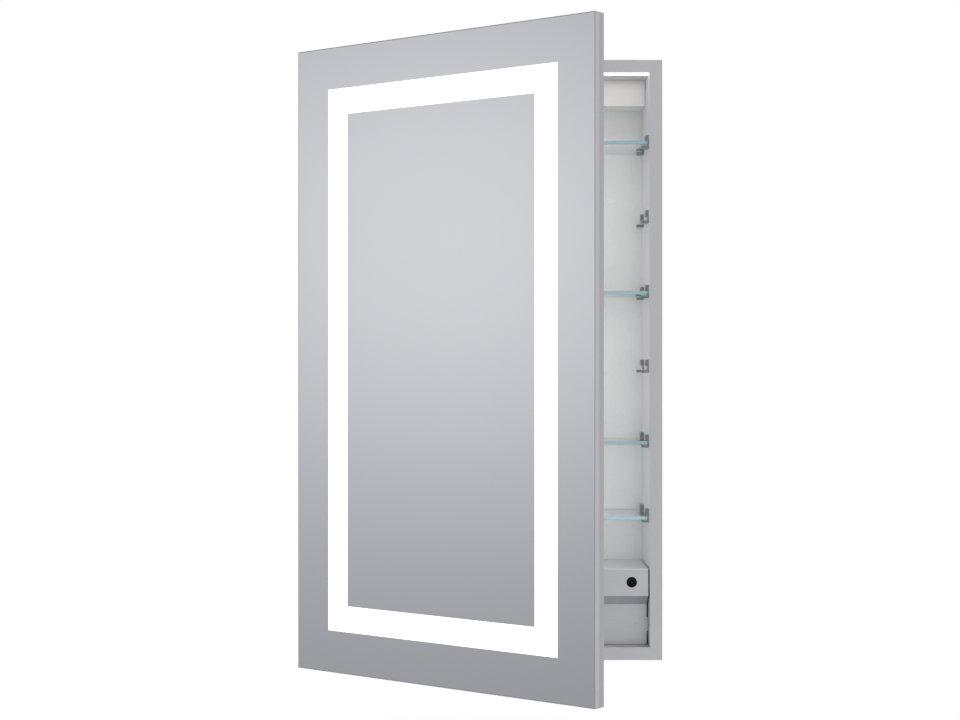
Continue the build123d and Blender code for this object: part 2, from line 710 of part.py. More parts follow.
def door_back_pan():
    """Rear layer of the door: a shallow pan open to the front, set in by a fine groove."""
    half_w = DOOR_W / 2
    half_h = DOOR_H / 2
    front = DOOR_FRONT + BAR_DEPTH
    inset = GROOVE_IN
    shell = block(-half_w + 0.2, half_w - 0.2, front + GROOVE, DOOR_BACK, -half_h + 0.2, half_h - 0.2)
    shell += block(-half_w + inset, half_w - inset, front, front + GROOVE + 1,
                   -half_h + inset, half_h - inset)
    wall = inset + PAN_T
    shell -= block(-half_w + wall, half_w - wall, front - 1, DOOR_BACK - PAN_T, -half_h + wall, half_h - wall)
    for x, z in pan_screw_places():
        shell -= rod_y(x, z, DOOR_BACK - 3, DOOR_BACK + 3, SCREW_HOLE_R)
    for z in leaf_screw_heights():
        shell -= rod_y(HINGE_X + 11.0, z, DOOR_BACK - 3, DOOR_BACK + 3, SCREW_HOLE_R)
    return shell - rod_y(GROMMET_X, GROMMET_Z, DOOR_BACK - 3, DOOR_BACK + 3, 4.0)


def pan_screws():
    return Compound([screw_y(x, z, DOOR_BACK, DOOR_BACK - 9.5) for x, z in pan_screw_places()])


def inner_mirror():
    half_w = INNER_X - 3
    half_h = INNER_Z - 3
    glass = block(-half_w, half_w, DOOR_BACK, DOOR_BACK + INNER_MIRROR_T, -half_h, half_h)
    return chamfer(glass.faces().sort_by(Axis.Y)[-1].edges(), 0.5)


def bumpers():
    """Silicone buffers that meet the right-hand face of the cabinet."""
    x = BODY_W / 2 - RIM / 2
    height = DOOR_GAP - 0.5
    bumper = fillet(rod_y(0, 0, 0, height, 5.0).faces().sort_by(Axis.Y)[-1].edges(), 1.2)
    return Compound([Pos(x, DOOR_BACK, z) * bumper for z in (-455.0, -150.0, 150.0, 455.0)])


def opened(shape):
    """Turns a closed door piece to the resting angle about the hinge."""
    return Pos(HINGE_X, HINGE_Y, 0) * Rot(0, 0, -DOOR_OPEN) * Pos(-HINGE_X, -HINGE_Y, 0) * shape


def cabinet_nodes():
    nodes = side_profiles()
    nodes["corner_keys"] = corner_keys()
    nodes["back_panel"] = back_panel()
    nodes["back_panel_screws"] = back_panel_screws()
    nodes["mounting_plates"] = mounting_plates()
    nodes["upper_rear_cover"] = upper_rear_cover()
    for name, level in SHELF_LEVELS.items():
        nodes[name] = shelf(level)
    for level in range(len(CLIP_LEVELS)):
        nodes[f"shelf_clips_{level + 1}"] = clip_level(level)
    nodes["clip_pads"] = clip_pads()
    nodes.update(light_parts())
    nodes["box_cover"] = box_cover()
    nodes["box_base"] = box_base()
    nodes["box_ends"] = box_ends()
    nodes["box_side_tabs"] = box_side_tabs()
    nodes["cover_screws"] = cover_screws()
    nodes["duplex_outlet"] = outlet()
    nodes["usb_module"] = usb_module()
    nodes["led_driver"] = led_driver()
    nodes["terminal_block"] = terminal_block()
    nodes["control_board"] = control_board()
    nodes["button_bezel"] = button_bezel()
    nodes["switch_body"] = switch_body()
    nodes["button_spring"] = button_spring()
    nodes["inlet_bushing"] = inlet_bushing()
    nodes["lead_grommet"] = lead_grommet(FRONT, FRONT + PROFILE_WALL)
    nodes["hinge_leaf_body"] = hinge_leaf(0, 1)
    nodes["hinge_pin"] = hinge_pin()
    nodes["hinge_screws_body"] = leaf_screws(1)
    return nodes


def door_nodes():
    nodes = door_bars()
    nodes["door_corner_keys"] = door_corner_keys()
    nodes["door_mirror"] = door_mirror()
    nodes["band_light_guide"] = band_light_guide()
    nodes["door_led_strips"] = door_led_strips()
    nodes["defogger_pad"] = defogger_pad()
    nodes["door_chassis"] = door_chassis()
    nodes["door_back_pan"] = door_back_pan()
    nodes["pan_screws"] = pan_screws()
    nodes["inner_mirror"] = inner_mirror()
    nodes["bumpers"] = bumpers()
    nodes["door_lead_grommet"] = lead_grommet(DOOR_BACK - PAN_T, DOOR_BACK)
    nodes["hinge_leaf_door"] = hinge_leaf(1, -1)
    nodes["hinge_screws_door"] = leaf_screws(-1)
    return {name: opened(shape) for name, shape in nodes.items()}


def main():
    os.makedirs("parts", exist_ok=True)
    nodes = cabinet_nodes()
    nodes.update(door_nodes())
    nodes["button_cap"] = button_cap()
    for name, shape in nodes.items():
        export_step(shape, f"parts/{name}.step")
    print(len(nodes), "nodes written")


main()
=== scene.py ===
import json
import math

import bmesh
import bpy
from mathutils import Matrix, Vector


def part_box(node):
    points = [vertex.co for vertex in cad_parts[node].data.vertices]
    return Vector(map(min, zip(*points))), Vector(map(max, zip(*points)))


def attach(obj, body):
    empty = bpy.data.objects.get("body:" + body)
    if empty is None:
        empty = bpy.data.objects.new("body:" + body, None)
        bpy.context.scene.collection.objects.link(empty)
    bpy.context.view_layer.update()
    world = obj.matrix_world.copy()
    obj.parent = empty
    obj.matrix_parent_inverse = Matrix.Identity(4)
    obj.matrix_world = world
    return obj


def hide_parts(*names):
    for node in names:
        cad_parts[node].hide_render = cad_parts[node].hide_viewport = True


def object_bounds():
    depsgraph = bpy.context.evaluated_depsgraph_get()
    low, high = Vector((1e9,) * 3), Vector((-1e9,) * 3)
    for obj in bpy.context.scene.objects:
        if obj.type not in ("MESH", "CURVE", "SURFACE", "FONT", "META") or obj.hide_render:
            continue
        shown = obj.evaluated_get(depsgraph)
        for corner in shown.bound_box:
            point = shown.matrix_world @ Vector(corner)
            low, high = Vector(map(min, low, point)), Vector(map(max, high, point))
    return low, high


# A wall-hung medicine cabinet with a lit mirror door, in metres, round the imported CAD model.
# The origin is the centre of the back face: +X right, +Y into the wall, +Z up.

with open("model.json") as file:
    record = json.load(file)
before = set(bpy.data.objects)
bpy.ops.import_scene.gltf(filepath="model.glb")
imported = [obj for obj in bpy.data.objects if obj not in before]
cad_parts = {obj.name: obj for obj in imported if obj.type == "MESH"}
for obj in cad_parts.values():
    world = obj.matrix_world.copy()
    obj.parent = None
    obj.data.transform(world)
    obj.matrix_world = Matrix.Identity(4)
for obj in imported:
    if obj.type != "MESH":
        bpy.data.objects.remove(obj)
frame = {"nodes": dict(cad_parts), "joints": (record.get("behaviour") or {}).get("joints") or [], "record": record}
cad_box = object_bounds()
nodes = frame["nodes"]

# Camera
CAMERA_AT = (-0.0123, -3.270, 0.0)
LENS_MM = 70.39
SENSOR_MM = 36.0

# Door: it rests open, and its lower limit is closed
hinge = next(j for j in frame["joints"] if j["name"] == "door_hinge")
DOOR_OPEN = -math.radians(hinge["range_deg"][0])
HINGE_AT = Vector(hinge["pos_m"])
DOOR_TURN = Matrix.Rotation(-DOOR_OPEN, 4, "Z")
DOOR_PLACE = Matrix.Translation(HINGE_AT) @ DOOR_TURN @ Matrix.Translation(-HINGE_AT)
BAND_OUTER = 0.068            # margins of the frosted band from the door's edge
BAND_INNER = 0.110
LIP = 0.0014                  # door's edge to the glass
GLASS_BEVEL = 0.0006
SHARP = 1.0                   # radians between two faces that count as an edge to bevel
FLAT = 0.99                   # part of a normal along an axis that counts as facing it

# Shelves
SHELVES = ("shelf_top", "shelf_upper", "shelf_lower", "shelf_bottom")
SHELF_CORNER = 0.002
SHELF_BEVEL = 0.0005

# Screws
HEAD_T = 0.0008
SHANK_R = 0.0015
POINT_LENGTH = 0.002
SCREW_SIDES = 24

# Fine rounds on the profiles
SOFT_EDGE = 0.0002
SOFT_ANGLE = math.radians(40)
SAME_PLACE = 1e-6             # vertices closer than this are one

# Mark on the button
MARK_R = 0.0055
MARK_ARC = (-30.0, 210.0)     # degrees
MARK_LINE = 0.0004            # half the width of the arc
DOT_R = 0.0008
MARK_PROUD = 0.00005
MARK_STEPS = 36

# Studio
WHITE = (1.0, 1.0, 1.0)
FLOOR_DROP = 0.35             # cabinet's lowest point to the floor
FLOOR_RADIUS = 1.55
FLOOR_FADE = 0.55
WARM = (1.0, 0.86, 0.77)

# Lamps inside the cabinet: sizes in metres, powers in watts
DOWN = (0.0, 0.0, 0.0)
TO_WALL = (math.pi / 2, 0.0, 0.0)
TO_RIGHT = (0.0, -math.pi / 2, 0.0)
FACE_CLEAR = 0.0015           # from the cabinet's face back to the two lamps just inside it
SIDE_FILL_X = -0.262
SIDE_FILL_SIZE = (0.92, 0.13)
SIDE_FILL_POWER = 1.6
BACK_FILL_Z = 0.045
BACK_FILL_SIZE = (0.53, 0.77)
BACK_FILL_POWER = 0.62
LOW_FILL_Z = -0.275
LOW_FILL_SIZE = (0.53, 0.12)
LOW_FILL_POWER = 0.09
STRIP_GAP = 0.0005
STRIP_GLOW_POWER = 0.09
COVER_GLOW_HEIGHT = 0.010
COVER_GLOW_REACH = 0.030
COVER_GLOW_POWER = 0.004


# Materials

def principled(name, colour, metallic=0.0, roughness=0.5, **sockets):
    """A Principled material. Extra keywords are socket names with _ for spaces."""
    material = bpy.data.materials.new(name)
    material.use_nodes = True
    shader = material.node_tree.nodes["Principled BSDF"]
    shader.inputs["Base Color"].default_value = (*colour, 1.0)
    shader.inputs["Metallic"].default_value = metallic
    shader.inputs["Roughness"].default_value = roughness
    for key, value in sockets.items():
        shader.inputs[key.replace("_", " ")].default_value = value
    return material


def shader_of(material):
    return material.node_tree.nodes["Principled BSDF"]


def noise(material, scale, detail=2.0, stretch=(1.0, 1.0, 1.0)):
    """Noise in the piece's own coordinates, with scale in cycles per metre."""
    tree = material.node_tree
    place = tree.nodes.new("ShaderNodeTexCoord")
    mapping = tree.nodes.new("ShaderNodeMapping")
    mapping.inputs["Scale"].default_value = stretch
    texture = tree.nodes.new("ShaderNodeTexNoise")
    texture.inputs["Scale"].default_value = scale
    texture.inputs["Detail"].default_value = detail
    tree.links.new(place.outputs["Object"], mapping.inputs["Vector"])
    tree.links.new(mapping.outputs["Vector"], texture.inputs["Vector"])
    return texture.outputs["Fac"]


def ranged(material, source, low, high, source_low=0.3, source_high=0.7):
    """The source mapped to low … high."""
    tree = material.node_tree
    node = tree.nodes.new("ShaderNodeMapRange")
    node.inputs["From Min"].default_value = source_low
    node.inputs["From Max"].default_value = source_high
    node.inputs["To Min"].default_value = low
    node.inputs["To Max"].default_value = high
    tree.links.new(source, node.inputs["Value"])
    return node.outputs["Result"]


def vary_roughness(material, source, low, high):
    level = ranged(material, source, low, high)
    material.node_tree.links.new(level, shader_of(material).inputs["Roughness"])


def vary_colour(material, source, dark, light):
    """Base colour from dark to light with the source."""
    tree = material.node_tree
    mix = tree.nodes.new("ShaderNodeMix")
    mix.data_type = "RGBA"
    mix.inputs["A"].default_value = (*dark, 1.0)
    mix.inputs["B"].default_value = (*light, 1.0)
    tree.links.new(ranged(material, source, 0.0, 1.0), mix.inputs["Factor"])
    tree.links.new(mix.outputs["Result"], shader_of(material).inputs["Base Color"])


def bumped(material, source, distance, strength=0.5):
    tree = material.node_tree
    bump = tree.nodes.new("ShaderNodeBump")
    bump.inputs["Strength"].default_value = strength
    bump.inputs["Distance"].default_value = distance
    tree.links.new(source, bump.inputs["Height"])
    tree.links.new(bump.outputs["Normal"], shader_of(material).inputs["Normal"])


def shade(colour, factor):
    return tuple(min(1.0, c * factor) for c in colour)


def satin_aluminium(name, stretch, colour=(0.60, 0.60, 0.62), metallic=0.5):
    """Extruded and anodised: a fine bead-blasted grain with faint die lines along the length."""
    material = principled(name, colour, metallic=metallic, roughness=0.42)
    lines = noise(material, 900.0, 3.0, stretch)
    vary_colour(material, lines, shade(colour, 0.97), shade(colour, 1.03))
    grain = noise(material, 2600.0, 2.0)
    vary_roughness(material, grain, 0.38, 0.47)
    bumped(material, grain, 0.00002)
    return material


def interior_aluminium():
    """Satin sheet with a fine powdery grain."""
    colour = (0.70, 0.70, 0.695)
    material = principled("interior_aluminium", colour, metallic=0.25, roughness=0.28)
    cloud = noise(material, 14.0, 3.0)
    vary_colour(material, cloud, shade(colour, 0.985), shade(colour, 1.015))
    grain = noise(material, 2200.0, 2.0)
    vary_roughness(material, grain, 0.26, 0.32)
    bumped(material, grain, 0.00001)
    return material


def silvering():
    """Float glass silvered behind: a clean mirror with a trace of waviness."""
    colour = (0.925, 0.932, 0.935)
    material = principled("silvering", colour, metallic=1.0, roughness=0.0)
    vary_colour(material, noise(material, 3.0), shade(colour, 0.995), shade(colour, 1.005))
    vary_roughness(material, noise(material, 40.0), 0.008, 0.02)
    return material


def frosted_band():
    """Sand-blasted strip, lit from behind by the light guide."""
    material = principled("frosted_band", (0.95, 0.95, 0.95), roughness=0.6,
                          Emission_Color=(1.0, 1.0, 1.0, 1.0), Emission_Strength=1.15)
    grain = noise(material, 1800.0, 2.0)
    vary_roughness(material, grain, 0.5, 0.7)
    bumped(material, grain, 0.00003)
    return material


def polished_edge():
    """Ground and polished edge of mirror glass, green with the depth of the sheet."""
    colour = (0.42, 0.53, 0.52)
    material = principled("polished_edge", colour, metallic=0.35, roughness=0.12)
    lines = noise(material, 500.0, 2.0, (1.0, 6.0, 1.0))
    vary_colour(material, lines, shade(colour, 0.92), shade(colour, 1.08))
    vary_roughness(material, lines, 0.08, 0.18)
    return material


def backing_paint():
    """Grey protective paint on the back of the silvering."""
    colour = (0.33, 0.34, 0.36)
    material = principled("backing_paint", colour, roughness=0.55)
    stipple = noise(material, 700.0, 3.0)
    vary_colour(material, stipple, shade(colour, 0.94), shade(colour, 1.06))
    bumped(material, stipple, 0.00005)
    return material


def shelf_glass():
    """Clear shelf faces."""
    material = principled("shelf_glass", (0.90, 0.975, 0.98), roughness=0.01, IOR=1.5,
                          Transmission_Weight=1.0)
    vary_roughness(material, noise(material, 60.0), 0.0, 0.02)
    return material


def shelf_edge():
    """Polished shelf edges, teal where the light runs along the sheet."""
    colour = (0.39, 0.57, 0.63)
    material = principled("shelf_edge", colour, roughness=0.08, IOR=1.5, Transmission_Weight=0.55)
    lines = noise(material, 260.0, 2.0, (0.2, 0.2, 6.0))
    vary_colour(material, lines, shade(colour, 0.9), shade(colour, 1.15))
    vary_roughness(material, lines, 0.05, 0.14)
    return material


def chrome():
    """Plated zinc casting, bright with faint casting waves."""
    colour = (0.25, 0.255, 0.26)
    material = principled("chrome", colour, metallic=1.0, roughness=0.3)
    waves = noise(material, 120.0, 2.0)
    vary_colour(material, waves, shade(colour, 0.95), shade(colour, 1.05))
    vary_roughness(material, noise(material, 900.0, 2.0), 0.26, 0.36)
    bumped(material, waves, 0.00004)
    return material


def bright_steel():
    """Zinc-plated steel with a brushed grain and a faint blue cast."""
    colour = (0.60, 0.61, 0.63)
    material = principled("bright_steel", colour, metallic=1.0, roughness=0.3)
    grain = noise(material, 1200.0, 3.0, (1.0, 1.0, 0.15))
    vary_colour(material, noise(material, 90.0, 3.0), shade(colour, 0.92), (0.64, 0.65, 0.70))
    vary_roughness(material, grain, 0.24, 0.38)
    bumped(material, grain, 0.00002)
    return material


def silicone():
    """Soft translucent rubber."""
    colour = (0.74, 0.75, 0.74)
    material = principled("silicone", colour, roughness=0.45, Subsurface_Weight=0.25, Subsurface_Scale=0.004)
    cloud = noise(material, 300.0, 2.0)
    vary_colour(material, cloud, shade(colour, 0.96), shade(colour, 1.04))
    vary_roughness(material, cloud, 0.4, 0.55)
    return material


def black_rubber():
    colour = (0.028, 0.028, 0.03)
    material = principled("black_rubber", colour, roughness=0.7)
    grain = noise(material, 900.0, 3.0)
    vary_colour(material, grain, shade(colour, 0.8), shade(colour, 1.3))
    vary_roughness(material, grain, 0.62, 0.8)
    bumped(material, grain, 0.00005)
    return material


def white_diffuser():
    """Opal strip, lit from behind by a warm row of LEDs."""
    material = principled("white_diffuser", (0.93, 0.92, 0.89), roughness=0.45,
                          Emission_Color=(1.0, 0.93, 0.87, 1.0), Emission_Strength=1.5)
    grain = noise(material, 1500.0, 2.0)
    vary_roughness(material, grain, 0.4, 0.5)
    bumped(material, grain, 0.00002)
    return material


def moulded_plastic(name, colour, low, high, specular=0.5):
    """Semi-gloss moulding with a fine spark-eroded texture."""
    material = principled(name, colour, roughness=(low + high) / 2, Specular_IOR_Level=specular)
    grain = noise(material, 1600.0, 2.0)
    vary_colour(material, noise(material, 25.0, 2.0), shade(colour, 0.97), shade(colour, 1.03))
    vary_roughness(material, grain, low, high)
    bumped(material, grain, 0.00003)
    return material


def circuit_board():
    """Green solder mask over a woven laminate, with paler traces."""
    colour = (0.02, 0.11, 0.045)
    material = principled("circuit_board", colour, roughness=0.35)
    traces = noise(material, 260.0, 1.0, (0.25, 1.0, 1.6))
    vary_colour(material, traces, colour, (0.05, 0.22, 0.10))
    vary_roughness(material, traces, 0.3, 0.45)
    bumped(material, traces, 0.00004)
    return material


def clear_acrylic():
    """Light guide with a printed dot pattern."""
    material = principled("clear_acrylic", (0.9, 0.92, 0.92), roughness=0.1, IOR=1.49,
                          Transmission_Weight=0.85)
    vary_roughness(material, noise(material, 700.0, 1.0), 0.05, 0.5)
    return material


def heating_film():
    """Amber polyimide film over a copper heating track."""
    material = principled("heating_film", (0.52, 0.28, 0.06), roughness=0.3)
    track = noise(material, 160.0, 0.0, (0.1, 1.0, 1.0))
    vary_colour(material, track, (0.42, 0.20, 0.04), (0.62, 0.34, 0.08))
    vary_roughness(material, track, 0.22, 0.4)
    return material


def floor_paint():
    material = principled("floor_paint", (0.86, 0.86, 0.86), roughness=0.7)
    grain = noise(material, 40.0, 3.0)
    vary_colour(material, grain, (0.85, 0.85, 0.85), (0.87, 0.87, 0.87))
    vary_roughness(material, grain, 0.65, 0.8)
    return material


upright_aluminium = satin_aluminium("satin_aluminium_upright", (1.0, 1.0, 0.02))
level_aluminium = satin_aluminium("satin_aluminium_level", (0.02, 1.0, 1.0))
box_aluminium = satin_aluminium("satin_aluminium_box", (0.02, 1.0, 1.0), (0.61, 0.615, 0.64), 0.6)
# The door's back pan takes a darker copy of the satin aluminium.
pan_aluminium = satin_aluminium("satin_aluminium_pan", (1.0, 1.0, 0.02), (0.50, 0.50, 0.52))
finishes = {
    "satin_aluminium": upright_aluminium,
    "interior_aluminium": interior_aluminium(),
    "mirror_glass": silvering(),
    "shelf_glass": shelf_glass(),
    "chrome": chrome(),
    "silicone": silicone(),
    "black_rubber": black_rubber(),
    "white_diffuser": white_diffuser(),
    "white_plastic": moulded_plastic("white_plastic", (0.80, 0.80, 0.79), 0.28, 0.4),
    "black_plastic": moulded_plastic("black_plastic", (0.002, 0.002, 0.0022), 0.3, 0.42, 0.06),
    "circuit_board": circuit_board(),
    "bright_steel": bright_steel(),
    "clear_acrylic": clear_acrylic(),
    "heating_film": heating_film(),
}
LEVEL_NODES = ("top_profile", "bottom_profile", "door_bar_top", "door_bar_bottom", "light_housing")
BOX_NODES = ("box_cover", "box_side_tabs")
SOFTENED = ("left_profile", "right_profile", "top_profile", "bottom_profile",
            "door_bar_left", "door_bar_right", "door_bar_top", "door_bar_bottom")


def paint_nodes():
    """Every CAD node takes the finish of its slot in the record."""
    for subpart in frame["record"]["subparts"]:
        node = nodes[subpart["node"]]
        node.data.materials.clear()
        node.data.materials.append(finishes[subpart["material_slot"]])
    for name in LEVEL_NODES:
        nodes[name].data.materials[0] = level_aluminium
    for name in BOX_NODES:
        nodes[name].data.materials[0] = box_aluminium
    nodes["door_back_pan"].data.materials[0] = pan_aluminium


# Meshes

def box_in(node, place):
    """Lowest and highest corner of a node in the frame that place leads out of."""
    back = place.inverted()
    points = [back @ v.co for v in nodes[node].data.vertices]
    low = Vector(min(p[i] for p in points) for i in range(3))
    high = Vector(max(p[i] for p in points) for i in range(3))
    return low, high


def mesh_object(name, builder, materials, place=Matrix.Identity(4)):
    """An object from a bmesh, with its materials in slot order."""
    mesh = bpy.data.meshes.new(name)
    builder.to_mesh(mesh)
    builder.free()
    for material in materials:
        mesh.materials.append(material)
    piece = bpy.data.objects.new(name, mesh)
    bpy.context.scene.collection.objects.link(piece)
    piece.matrix_world = place
    return piece


def grid_slab(xs, zs, front, back):
    """A slab of quads with its front and back faces divided at xs and zs."""
    made = bmesh.new()
    layers = []
    for y in (front, back):
        layers.append([[made.verts.new((x, y, z)) for z in zs] for x in xs])
    near, far = layers
    last_x = len(xs) - 1
    last_z = len(zs) - 1
    for i in range(last_x):
        for j in range(last_z):
            made.faces.new((near[i][j], near[i + 1][j], near[i + 1][j + 1], near[i][j + 1]))
            made.faces.new((far[i][j], far[i][j + 1], far[i + 1][j + 1], far[i + 1][j]))
    for i in range(last_x):
        made.faces.new((near[i][0], far[i][0], far[i + 1][0], near[i + 1][0]))
        made.faces.new((near[i][last_z], near[i + 1][last_z], far[i + 1][last_z], far[i][last_z]))
    for j in range(last_z):
        made.faces.new((near[0][j], near[0][j + 1], far[0][j + 1], far[0][j]))
        made.faces.new((near[last_x][j], far[last_x][j], far[last_x][j + 1], near[last_x][j + 1]))
    return made


def bevel_edges(made, edges, width, segments):
    bmesh.ops.bevel(made, geom=edges, offset=width, offset_type="OFFSET", segments=segments,
                    profile=0.5, affect="EDGES", clamp_overlap=True)


def mirror_pane():
    """The door's glass: silvered, with a frosted band let into it and polished edges."""
    low, high = box_in("door_mirror", DOOR_PLACE)
    outer = BAND_OUTER - LIP
    inner = BAND_INNER - LIP
    xs = (low.x, low.x + outer, low.x + inner, high.x - inner, high.x - outer, high.x)
    zs = (low.z, low.z + outer, low.z + inner, high.z - inner, high.z - outer, high.z)
    made = grid_slab(xs, zs, low.y, high.y)
    rim = [e for e in made.edges if len(e.link_faces) == 2 and e.calc_face_angle() > SHARP]
    bevel_edges(made, rim, GLASS_BEVEL, 2)
    silver, band, edge, paint = range(4)
    for face in made.faces:
        centre = face.calc_center_median()
        reach = min(centre.x - low.x, high.x - centre.x, centre.z - low.z, high.z - centre.z)
        if face.normal.y < -FLAT:
            face.material_index = band if outer < reach < inner else silver
        elif face.normal.y > FLAT:
            face.material_index = paint
        else:
            face.material_index = edge
    piece = mesh_object("mirror_pane", made, (finishes["mirror_glass"], frosted_band(), polished_edge(),
                                              backing_paint()), DOOR_PLACE)
    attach(piece, "door")
    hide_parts("door_mirror")


def glass_shelf(node):
    """A shelf with rounded corners and polished, softened edges."""
    low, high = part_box(node)
    made = grid_slab((low.x, high.x), (low.z, high.z), low.y, high.y)
    corners = [e for e in made.edges if abs((e.verts[0].co - e.verts[1].co).z) > SHELF_BEVEL]
    bevel_edges(made, corners, SHELF_CORNER, 5)
    rims = [e for e in made.edges if len(e.link_faces) == 2 and e.calc_face_angle() > SHARP]
    bevel_edges(made, rims, SHELF_BEVEL, 2)
    for face in made.faces:
        face.material_index = 0 if abs(face.normal.z) > FLAT else 1
    piece = mesh_object(node + "_pane", made, (finishes["shelf_glass"], shelf_edge_finish))
    piece.visible_shadow = False
    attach(piece, "cabinet")
    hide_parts(node)


def add_arc(made, centre, radius, half_width, first, last):
    """A flat arc facing -Y, from the first to the last angle in degrees."""
    rows = []
    for i in range(MARK_STEPS + 1):
        angle = math.radians(first + (last - first) * i / MARK_STEPS)
        ray = Vector((math.cos(angle), 0.0, math.sin(angle)))
        rows.append([made.verts.new(centre + r * ray) for r in (radius - half_width, radius + half_width)])
    for (a, b), (c, d) in zip(rows, rows[1:]):
        made.faces.new((a, b, d, c))


def button_mark():
    """A dark grey arc over a dot on the button's face, a little lighter than the black button."""
    low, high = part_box("button_cap")
    centre = (low + high) / 2
    centre.y = low.y - MARK_PROUD
    made = bmesh.new()
    add_arc(made, centre, MARK_R, MARK_LINE, *MARK_ARC)
    add_arc(made, centre, DOT_R, DOT_R, 0.0, 360.0)
    bmesh.ops.remove_doubles(made, verts=made.verts, dist=SAME_PLACE)
    bmesh.ops.recalc_face_normals(made, faces=made.faces)
    # The arc and dot take a flat dark grey, a little lighter than the black button.
    mark_finish = moulded_plastic("mark_grey", (0.035, 0.035, 0.037), 0.45, 0.6, 0.3)
    piece = mesh_object("button_mark", made, (mark_finish,))
    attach(piece, "button")


def soften(node):
    """A fine round on a node's sharp edges."""
    weld = nodes[node].modifiers.new("weld", "WELD")
    weld.merge_threshold = SAME_PLACE
    bevel = nodes[node].modifiers.new("bevel", "BEVEL")
    bevel.width = SOFT_EDGE
    bevel.segments = 2
    bevel.limit_method = "ANGLE"
    bevel.angle_limit = SOFT_ANGLE
    bevel.use_clamp_overlap = False


def solids_in(node, place):
    """Lowest and highest corner of each separate solid of a node, in the frame that place leads out of."""
    made = bmesh.new()
    made.from_mesh(nodes[node].data)
    bmesh.ops.transform(made, matrix=place.inverted(), verts=made.verts)
    bmesh.ops.remove_doubles(made, verts=made.verts, dist=SAME_PLACE)
    waiting = set(made.verts)
    boxes = []
    while waiting:
        group = [waiting.pop()]
        for vert in group:
            for edge in vert.link_edges:
                other = edge.other_vert(vert)
                if other in waiting:
                    waiting.remove(other)
                    group.append(other)
        low = Vector(min(v.co[i] for v in group) for i in range(3))
        high = Vector(max(v.co[i] for v in group) for i in range(3))
        boxes.append((low, high))
    made.free()
    return sorted(boxes, key=lambda box: tuple(box[0]))


def ring_of(made, points):
    """A closed ring of vertices and its edges."""
    verts = [made.verts.new(p) for p in points]
    edges = [made.edges.new(pair) for pair in zip(verts, verts[1:] + verts[:1])]
    return verts, edges


def circle(radius, y):
    """Points of a circle round the Y axis."""
    angles = [2 * math.pi * i / SCREW_SIDES for i in range(SCREW_SIDES)]
    return [Vector((radius * math.cos(a), y, radius * math.sin(a))) for a in angles]


def cross(reach, half, y):
    """Points of a cross in a plane across the Y axis, with arms that long and half that wide."""
    corners = []
    for quarter in range(4):
        turn = Matrix.Rotation(-quarter * math.pi / 2, 3, "Y")
        corners += [turn @ Vector((along, y, across))
                    for along, across in ((half, -half), (reach, -half), (reach, half))]
    return corners


def add_cross_screw(made, seat, radius, length, facing):
    """A domed head with a cross recess on the seat, facing -Y or +Y, and its pointed shank behind."""
    def placed(points):
        return [seat + Vector((p.x, facing * p.y, p.z)) for p in points]

    shank = ((SHANK_R, -length + POINT_LENGTH), (SHANK_R, 0.0))
    dome = ((radius, 0.0), (radius, 0.5 * HEAD_T), (0.93 * radius, 0.83 * HEAD_T), (0.75 * radius, HEAD_T))
    rings = [circle(r, y) for r, y in shank + dome]
    rings.append(cross(0.62 * radius, 0.14 * radius, HEAD_T))
    rings.append(cross(0.45 * radius, 0.11 * radius, 0.35 * HEAD_T))
    tip = made.verts.new(placed([Vector((0.0, -length, 0.0))])[0])
    verts, edges = ring_of(made, placed(rings[0]))
    for a, b in zip(verts, verts[1:] + verts[:1]):
        made.faces.new((a, b, tip))
    for ring in rings[1:]:
        verts, next_edges = ring_of(made, placed(ring))
        bmesh.ops.bridge_loops(made, edges=edges + next_edges)
        edges = next_edges
    made.faces.new(verts)


def cross_screws(node, body, facing, place=Matrix.Identity(4)):
    """Screws with cross recesses in place of a node's plain ones. Their heads face -Y or +Y."""
    made = bmesh.new()
    for low, high in solids_in(node, place):
        middle = (low + high) / 2
        front = low.y if facing < 0 else high.y
        seat = Vector((middle.x, front - facing * HEAD_T, middle.z))
        add_cross_screw(made, seat, (high.x - low.x) / 2, high.y - low.y - HEAD_T, facing)
    bmesh.ops.recalc_face_normals(made, faces=made.faces)
    for face in made.faces:
        face.smooth = len(face.verts) == 4
    piece = mesh_object("cross_" + node, made, (finishes["bright_steel"],), place)
    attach(piece, body)
    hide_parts(node)


# Studio

def direction(azimuth, elevation):
    """A unit vector from degrees, with azimuth from +X towards +Y."""
    a = math.radians(azimuth)
    e = math.radians(elevation)
    return Vector((math.cos(e) * math.cos(a), math.cos(e) * math.sin(a), math.sin(e)))


def math_node(tree, operation, first, second=None):
    node = tree.nodes.new("ShaderNodeMath")
    node.operation = operation
    for socket, value in zip(node.inputs, (first, second)):
        if isinstance(value, bpy.types.NodeSocket):
            tree.links.new(value, socket)
        elif value is not None:
            socket.default_value = value
    return node.outputs[0]


def dot_node(tree, source, vector):
    node = tree.nodes.new("ShaderNodeVectorMath")
    node.operation = "DOT_PRODUCT"
    tree.links.new(source, node.inputs[0])
    node.inputs[1].default_value = vector
    return node.outputs["Value"]


def soft_lamp(tree, look, azimuth, elevation, width, height, strength):
    """Brightness of a soft round-edged lamp in the studio, at that direction and half-size in degrees."""
    aim = direction(azimuth, elevation)
    side = Vector((0, 0, 1)).cross(aim).normalized()
    rise = aim.cross(side)
    across = math_node(tree, "DIVIDE", dot_node(tree, look, side), math.sin(math.radians(width)))
    along = math_node(tree, "DIVIDE", dot_node(tree, look, rise), math.sin(math.radians(height)))
    square = math_node(tree, "ADD", math_node(tree, "MULTIPLY", across, across),
                       math_node(tree, "MULTIPLY", along, along))
    falloff = math_node(tree, "EXPONENT", math_node(tree, "MULTIPLY", square, -1.0))
    facing = math_node(tree, "GREATER_THAN", dot_node(tree, look, aim), 0.0)
    return math_node(tree, "MULTIPLY", math_node(tree, "MULTIPLY", falloff, facing), strength)


